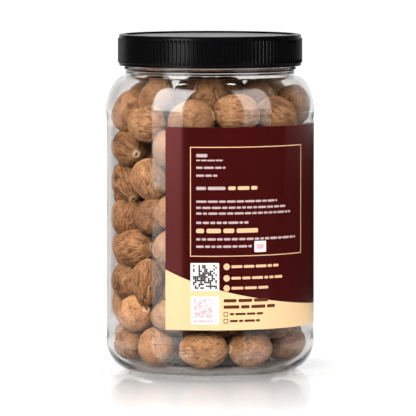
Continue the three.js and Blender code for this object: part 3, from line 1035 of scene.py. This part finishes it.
# The others start in rings on levels, away from the ones already placed
def ringEggs(placed):
    start = len(placed["a"]) * 7
    rows = []
    for level in range(filling["levels"]):
        for ring, (radius, count) in enumerate(filling["rings"]):
            for place in range(count):
                i = len(rows) + start
                angle = (place + 0.5 * (level % 2) + 0.3 * chance(i, 1)) * 2 * np.pi / count + ring
                rows.append((i, angle, radius, level))
    i, angle, radius, level = np.array(rows).T
    lean = np.pi * chance(i, 4)
    facing = np.arcsin(chance(i, 5)) * 0.8
    outward = outwardAt(angle)
    sideways = np.stack([np.cos(angle), np.sin(angle), np.zeros(len(i))], -1)
    upwards = np.array([0, 0, 1])
    axis = (sideways * (np.sin(lean) * np.cos(facing))[:, None] + outward * np.sin(facing)[:, None]
            + upwards * (np.cos(lean) * np.cos(facing))[:, None])
    height = filling["firstLevel"] + filling["spacing"] * level + 4 * chance(i, 6)
    eggs = {"a": between(filling["longHalf"], chance(i, 2)), "b": between(filling["wideHalf"], chance(i, 3)),
            "axis": axis, "centre": outward * radius[:, None] + upwards * height[:, None],
            "fixed": np.zeros(len(i), bool)}
    apart = np.linalg.norm(eggs["centre"][:, None] - placed["centre"][None], axis=-1)
    free = np.all(apart >= 2 * eggs["b"][:, None] * filling["crowding"], 1)
    outer = radius > filling["rings"][1][0]
    turn = np.degrees(np.arctan2(eggs["centre"][:, 0], -eggs["centre"][:, 1]))
    level = eggs["centre"][:, 2]
    clearOfLabel = (level < label["low"]) | (level > label["high"] - filling["underLabelTop"])
    first, besideLabel, elsewhere = filling["placedByHand"]
    free &= ~(outer & (turn > first) & (turn < np.where(clearOfLabel, elsewhere, besideLabel)))
    return {key: value[free] for key, value in eggs.items()}


# Lets the free nutmegs sink and push apart until they lie on each other and against the wall. The reach of
# one towards another is 1 / sqrt(c / a^2 + (1 - c) / b^2), c being the squared cosine of its axis to that
# line.
def settle(eggs):
    count = len(eggs["a"])
    for step in range(filling["steps"]):
        apart = eggs["centre"][None] - eggs["centre"][:, None]
        distance = np.linalg.norm(apart, axis=-1) + np.eye(count) * 1e3
        direction = apart / distance[..., None]
        c = np.einsum("ijk,ik->ij", direction, eggs["axis"]) ** 2
        reach = 1 / np.sqrt(c / eggs["a"][:, None] ** 2 + (1 - c) / eggs["b"][:, None] ** 2)
        overlap = np.maximum(reach + reach.T - distance, 0)
        share = np.where(eggs["fixed"][:, None] | eggs["fixed"][None], 1.0, 0.5)
        moves = -np.sum(direction * (overlap * share)[..., None], 1) * filling["pushShare"]
        moves[:, 2] -= filling["drop"] * max(0, 1 - 1.25 * step / filling["steps"])
        before = eggs["centre"].copy()
        eggs["centre"] = eggs["centre"] + moves
        keepInside(eggs)
        eggs["centre"][eggs["fixed"]] = before[eggs["fixed"]]
    return eggs


# Three axes of each nutmeg: its long axis and two across it, turned about it by a seeded angle
def eggFrames(eggs):
    along = eggs["axis"]
    other = np.where(np.abs(along[:, 2:]) < 0.8, np.array([[0, 0, 1.0]]), np.array([[1.0, 0, 0]]))
    across = np.cross(other, along)
    across /= np.linalg.norm(across, axis=1)[:, None]
    up = np.cross(along, across)
    spin = 2 * np.pi * chance(np.arange(len(along)), 9)[:, None]
    first = across * np.cos(spin) + up * np.sin(spin)
    return np.stack([first, np.cross(along, first), along], 1)


nutmegKinds = {
    # furrows round the girth and along it, their depth and breadth, depth of the net of wrinkles, scar
    "furrowed": {"round": 5.6, "along": 1.5, "depth": 0.56, "sharp": 0.11, "net": 0.14, "scar": 0.5},
    "wrinkled": {"round": 7.0, "along": 1.8, "depth": 0.4, "sharp": 0.12, "net": 0.12, "scar": 0.5},
    "netted": {"round": 6.0, "along": 3.4, "depth": 0.42, "sharp": 0.09, "net": 0.14, "scar": 0.7},
    "smooth": {"round": 6.0, "along": 2.4, "depth": 0.2, "sharp": 0.12, "net": 0.1, "scar": 0.4},
    "pitted": {"round": 6.0, "along": 3.4, "depth": 0.28, "sharp": 0.1, "net": 0.12, "scar": 0.6},
    "scarred": {"round": 5.2, "along": 1.8, "depth": 0.5, "sharp": 0.11, "net": 0.14, "scar": 1.0},
}

# Relief that the kinds share: sizes, radii and heights in millimetres, the rest as shares
relief = {
    "lumps": [(8.5, 0.55), (4.2, 0.22)],  # size, height
    "warpSize": 6.0,  # of the slow noise that bends furrows, round and along
    "warpRound": 0.225,
    "warpAlong": 0.3,
    "patchSize": 7.0,  # of the patches with deeper furrows
    "netRound": 2.1,  # how much finer the net is than the furrows, and its lines' breadth
    "netAlong": 2.4,
    "netLine": 0.13,
    "ring": (1.45, 0.55, 0.5),  # radius, breadth and height of the ring round the scar
    "ringUneven": (1.4, 0.9),  # size, share
    "ringWobble": (2.2, 0.5),  # size, how far
    "hollow": (0.75, 0.5),  # radius, depth
    "dimple": (1.5, 0.6),
    "pleats": (2.6, 1.6, 0.12),  # radius, breadth, height
    "pleatCount": 9,
    "channel": (1.3, 0.3),  # breadth and depth of the channel from end to end
}


# Skins of several nutmegs at once. An egg of half-length a and half-width b, wider towards the scarred end,
# is (b (1 + taper cos t) sin t cos turn, the same with sin turn, a cos t). It is pushed along its normal by
# lumps, furrows on the zero lines of a noise stretched lengthwise, a finer net, an uneven ring round a
# hollow scar, a channel from end to end, and a dimple with pleats at the far end.
def nutmegSkins(eggs, frames, numbers, kind, columns, rings):
    a, b = eggs["a"][:, None, None], eggs["b"][:, None, None]
    t = np.linspace(0, np.pi, rings + 2)[None, :, None]
    turn = np.linspace(0, 2 * np.pi, columns, endpoint=False)[None, None, :]
    cosine, sine, girth = np.cos(turn), np.sin(turn), np.sin(t)
    wide = b * girth * (1 + filling["taper"] * np.cos(t))
    local = stacked(wide * cosine, wide * sine, a * np.cos(t))
    normal = stacked(girth * cosine / b, girth * sine / b, np.cos(t) / a)
    normal = normal / np.linalg.norm(normal, axis=-1)[..., None]
    seeds = (numbers * 17.31)[:, None, None, None]

    def bodyNoise(size, number, shift=0):
        return slopeNoise(local / size + seeds + shift, number)

    lumps = sum(bodyNoise(size, number) * high for number, (size, high) in enumerate(relief["lumps"], 1))
    warp = bodyNoise(relief["warpSize"], 3, 40)
    around = turn + warp * relief["warpRound"]
    length = t + warp * relief["warpAlong"]

    # a noise on the warped surface, with so many waves round it and along it
    def skinNoise(roundwise, lengthwise, shift, number):
        place = stacked(roundwise * np.cos(around), roundwise * np.sin(around), lengthwise * length)
        return slopeNoise(place + seeds + shift, number)

    ripple = skinNoise(kind["round"], kind["along"], 0, 4)
    furrow = bell(ripple, kind["sharp"])
    patch = smoothStep(-0.5, 0.45, bodyNoise(relief["patchSize"], 5, 90))
    fade = smoothStep(0.12, 0.5, girth)
    net = skinNoise(relief["netRound"] * kind["round"], relief["netAlong"] * kind["along"], 7, 6)
    fine = bell(net, relief["netLine"])
    fromScar = b * np.sin(np.minimum(t, np.pi / 2)) + (t > np.pi / 2) * 99
    fromTip = b * np.sin(np.maximum(t, np.pi / 2)) + (t < np.pi / 2) * 99
    unevenSize, unevenShare = relief["ringUneven"]
    uneven = np.clip(1 + unevenShare * bodyNoise(unevenSize, 7), 0, 2)
    wobbleSize, wobbleReach = relief["ringWobble"]
    wobble = wobbleReach * bodyNoise(wobbleSize, 8)
    ringRadius, ringBreadth, ringHigh = relief["ring"]
    ring = bell(fromScar - ringRadius - wobble, ringBreadth) * uneven * kind["scar"]
    hollowRadius, hollowDeep = relief["hollow"]
    hollow = bell(fromScar, hollowRadius + 0.5 * wobble) * kind["scar"]
    dimpleRadius, dimpleDeep = relief["dimple"]
    dimple = bell(fromTip, dimpleRadius)
    pleatRadius, pleatBreadth, pleatHigh = relief["pleats"]
    pleats = bell(fromTip - pleatRadius, pleatBreadth) * np.cos(turn * relief["pleatCount"] + seeds[..., 0])
    channelBreadth, channelDeep = relief["channel"]
    fromChannel = b * girth * np.sin(turn / 2) * 2
    channel = bell(fromChannel, channelBreadth) * smoothStep(0.1, 0.4, girth) * kind["scar"]
    height = (lumps + kind["depth"] * fade * (0.7 * np.abs(ripple) - furrow * (0.45 + 0.55 * patch))
              - kind["net"] * fine * (1 - 0.5 * patch) * smoothStep(0.05, 0.3, girth)
              + ringHigh * ring - hollowDeep * hollow - dimpleDeep * dimple + pleatHigh * pleats
              - channelDeep * channel)
    shape = local + normal * height[..., None]
    world = np.einsum("nrcj,njk->nrck", shape, frames) + eggs["centre"][:, None, None]
    # painted shade: a darker colour in the furrows, the net of wrinkles, the scar's hollow, the end dimple
    # and the channel, where shade falls
    dark = (furrow * fade * (0.5 + 0.5 * patch) * min(1, kind["depth"] * 2.4) + fine * kind["net"] * 2.7
            + hollow * 0.8 + dimple * 0.5 + channel * 0.4)
    marks = {"nutPlace": local + seeds * 2, "nutFurrow": np.clip(dark, 0, 1),
             "nutScar": np.clip(ring * 0.8, 0, 1)}
    full = world.shape[:3]
    return world, {key: np.broadcast_to(value, full + value.shape[3:]) for key, value in marks.items()}


# One mesh from the skins: each nutmeg's first and last ring becomes a single point closed by a fan
def skinArrays(world, marks, tones, offset):
    count, rings, columns = world.shape[:3]
    inner = rings - 2
    each = inner * columns + 2

    def flat(value):
        middle = value[:, 1:-1].reshape((count, -1) + value.shape[3:])
        whole = np.concatenate([middle, value[:, :1, 0], value[:, -1:, 0]], 1)
        return whole.reshape((-1,) + value.shape[3:])

    start = offset + np.arange(count)[:, None, None] * each
    column = np.arange(columns)
    following = (column + 1) % columns
    first = np.stack([np.full(columns, each - 2), column, following], -1)
    last = (inner - 1) * columns
    final = np.stack([last + following, last + column, np.full(columns, each - 1)], -1)
    return {"points": flat(world), "nutTone": np.repeat(tones, each),
            "quads": (gridQuads(inner, columns, wrap=True)[None, :, ::-1] + start).reshape(-1, 4),
            "triangles": (np.concatenate([first, final])[None] + start).reshape(-1, 3),
            **{key: flat(value) for key, value in marks.items()}}


# the third colour is the dark brown of the painted shade in the furrows and hollows, and also of the thin
# lines
skinColours = {  # ridges, body, furrows, and how strongly the thin lines show
    "furrowed": ((214, 158, 110), (174, 118, 76), (46, 24, 14), 0.75),
    "wrinkled": ((222, 168, 122), (186, 131, 88), (64, 36, 22), 0.75),
    "netted": ((208, 152, 106), (168, 114, 74), (52, 28, 16), 0.75),
    "smooth": ((224, 174, 132), (198, 145, 106), (94, 58, 37), 0.6),
    "pitted": ((214, 160, 116), (180, 126, 86), (62, 36, 22), 0.7),
    "scarred": ((210, 154, 106), (172, 117, 76), (48, 26, 15), 0.75),
}
skinLook = {
    # the scar ring's colour: partly its own pale colour, partly a painted highlight on the raised ring
    "scar": paint(252, 230, 196),
    "stretch": (1.0, 1.0, 0.3),   # draws the thin lines out along the nutmeg
    "lineBreadth": (0.004, 0.034),
    # how strongly the painted shade darkens the furrows and hollows
    "recessShadeShare": 0.82,
    "dust": (0.6, 0.75, 0.0, 0.3),
    # the low end of the brightness paints shade onto the deep nutmegs
    "brightness": (0.2, 1.24),    # at tones of -0.5 and 1.5
    "roughness": (0.5, 0.72),
}


# Colours and relief finer than the mesh, in the nutmeg's own coordinates: blotches, thin lines along it,
# specks of pale dust, dark brown painted into the furrows and hollows as shade, and a pale scar ring that
# also carries a painted highlight, all darker or lighter by its tone, which also paints shade onto the deep
# nutmegs
def makeNutmegSkin():
    inputs = {"Ridge": "Color", "Body": "Color", "Furrow": "Color", "Scar": "Color", "Fibre": "Float"}
    group, given = newGroup("nutmegSkin", inputs, {"Color": "Color", "Roughness": "Float", "Height": "Float"})
    marks = [addNode(group, "ShaderNodeAttribute", attribute_name=name).outputs
             for name in ("nutPlace", "nutFurrow", "nutScar", "nutTone")]
    place = marks[0]["Vector"]
    furrow, scar, tone = [mark["Fac"] for mark in marks[1:]]
    drawn = addNode(group, "ShaderNodeMapping", {"Vector": place, "Scale": skinLook["stretch"]}).outputs[0]
    fibres = addNoise(group, drawn, 0.9, 2.5, 0.65, 1.4)
    blotches = addNoise(group, place, 0.16, 4.0)
    specks = addNoise(group, place, 2.6, 3.0)
    offLine = compute(group, "ABSOLUTE", compute(group, "SUBTRACT", fibres, 0.5))
    lines = reMap(group, offLine, *skinLook["lineBreadth"], 1.0, 0.0)
    lines = compute(group, "MULTIPLY", lines, given["Fibre"])
    # painted shade in the furrows and hollows, in the furrow colour
    paintedRecessShade = compute(group, "MULTIPLY", furrow, skinLook["recessShadeShare"])
    colour = mixColours(group, reMap(group, blotches, 0.35, 0.68), given["Body"], given["Ridge"])
    colour = mixColours(group, lines, colour, given["Furrow"])
    colour = mixColours(group, paintedRecessShade, colour, given["Furrow"])
    colour = mixColours(group, reMap(group, specks, *skinLook["dust"]), colour, given["Ridge"])
    # the ring round the scar: pale colour with a painted highlight
    colour = mixColours(group, scar, colour, given["Scar"])
    # tone scales the colour: the nutmeg's own lightness, and painted shade where tones are low
    bright = reMap(group, tone, -0.5, 1.5, *skinLook["brightness"])
    shade = addNode(group, "ShaderNodeCombineColor", {0: bright, 1: bright, 2: bright}).outputs[0]
    height = compute(group, "ADD", compute(group, "MULTIPLY", fibres, 0.7),
                     compute(group, "MULTIPLY", specks, 0.3))
    addNode(group, "NodeGroupOutput", {"Color": mixColours(group, 1.0, colour, shade, "MULTIPLY"),
                                       "Roughness": reMap(group, specks, 0.2, 0.8, *skinLook["roughness"]),
                                       "Height": height})
    return group


nutmegSkin = makeNutmegSkin()


def makeNutmegMaterial(kind):
    ridge, body, furrow, fibre = skinColours[kind]
    material, tree, shader = newMaterial(kind + "Nutmeg", {"Specular IOR Level": 0.35})
    inputs = {"Ridge": paint(*ridge), "Body": paint(*body), "Furrow": paint(*furrow),
              "Scar": skinLook["scar"], "Fibre": fibre}
    skin = addNode(tree, "ShaderNodeGroup", inputs, node_tree=nutmegSkin)
    feed(shader, {"Base Color": skin.outputs["Color"]})
    applyFinish(tree, shader, skin, 0.7, 0.0008)
    return material


# Nutmegs that can be seen: in the label's gap two deep, above and below the label, and on top
def seenNutmegs(eggs):
    centre, margin = eggs["centre"], filling["seen"]
    turn = np.degrees(np.arctan2(centre[:, 0], -centre[:, 1]))
    halfGap = (360 - label["turn"]) / 2
    fromGap = np.abs((turn - (label["start"] - halfGap) + 180) % 360 - 180)
    radius = np.hypot(centre[:, 0], centre[:, 1])
    gap = (fromGap < halfGap + margin["beyondGap"]) & (radius > margin["radius"])
    low = centre[:, 2] < label["low"] + margin["overLow"]
    high = centre[:, 2] > label["high"] - margin["underHigh"]
    return gap | low | high


def giveKinds(eggs):
    names = list(nutmegKinds)
    fixed = [names.index(row[7]) for row in frontNutmegs]
    number = np.arange(len(fixed), len(eggs["a"]))
    drawn = np.floor(chance(number, 11) * len(names)).astype(int)
    tones = np.concatenate([[row[8] for row in frontNutmegs], chance(number, 12) * 0.8])
    return np.concatenate([fixed, drawn]), tones


# All nutmegs of one kind as one piece, each group of them on its own grid
def addKind(name, eggs, frames, tones, groups, node):
    made, offset = [], 0
    for chosen, grid in zip(groups, filling["grids"]):
        if len(chosen):
            some = {key: eggs[key][chosen] for key in ("a", "b", "centre")}
            world, marks = nutmegSkins(some, frames[chosen], chosen, nutmegKinds[name], *grid)
            made.append(skinArrays(world, marks, tones[chosen], offset))
            offset += len(made[-1]["points"])
    joined = {key: np.concatenate([arrays[key] for arrays in made]) for key in made[0]}
    mesh = arrayMesh("nutmegs." + name, joined["points"] * mm, joined["quads"], joined["triangles"])
    for key, kind, field in (("nutFurrow", "FLOAT", "value"), ("nutScar", "FLOAT", "value"),
                             ("nutTone", "FLOAT", "value"), ("nutPlace", "FLOAT_VECTOR", "vector")):
        mark = mesh.attributes.new(key, kind, "POINT")
        mark.data.foreach_set(field, joined[key].astype(np.float32).ravel())
    addPiece("nutmegs." + name, mesh, [makeNutmegMaterial(name)], node)
    print(name, "nutmegs made:", len(mesh.polygons), "faces")


def makeNutmegs():
    front = frontEggs()
    others = ringEggs(front)
    eggs = settle({key: np.concatenate([front[key], others[key]]) for key in front})
    print("nutmegs settled:", len(eggs["a"]))
    frames = eggFrames(eggs)
    kinds, tones = giveKinds(eggs)
    fixed, seen = eggs["fixed"], seenNutmegs(eggs)
    for index, name in enumerate(nutmegKinds):
        groups = [np.flatnonzero(group & (kinds == index))
                  for group in (fixed, ~fixed & seen, ~fixed & ~seen)]
        addKind(name, eggs, frames, tones, groups, "nutmegs" if index == 0 else None)


core = {
    "radius": 27.0,
    "low": 8.0,
    "high": 138.0,
    "edge": 8.0,
    "lumpSize": 9.0,
    "lumpHigh": 3.5,
    "columns": 96,
    # dark browns that paint the shade inside the heap
    "dark": paint(60, 38, 26),
    "light": paint(96, 66, 46),
}


# The middle of the heap behind the nutmegs that show: an uneven column, coloured dark brown as painted shade
# of the heap's hidden inside
def makeCore():
    radius, low, high, edge = core["radius"], core["low"], core["high"], core["edge"]
    profile = np.concatenate([
        np.array([[0, low]]),
        ellipseArc(radius - edge, low + edge, edge, edge, -90, 0, 6),
        straight((radius, low + edge), (radius, high - edge), 40),
        ellipseArc(radius - edge, high - edge, edge, edge, 0, 90, 6)[1:],
        np.array([[0, high]]),
    ])

    def uneven(turn, radius, height):
        place = stacked(radius * np.cos(turn), radius * np.sin(turn), height)
        return slopeNoise(place / core["lumpSize"], 21) * core["lumpHigh"]

    material, tree, shader = newMaterial("heapShade", {"Roughness": 0.9})
    cloud = addNoise(tree, objectPlace(tree), 260.0, 3.0)
    feed(shader, {"Base Color": mixColours(tree, cloud, core["dark"], core["light"])})
    addPiece("heapCore", turnedMesh("heapCore", profile, core["columns"], uneven), [material])


makeNutmegs()
makeCore()
linkLamps()
print("core made and lamps linked")
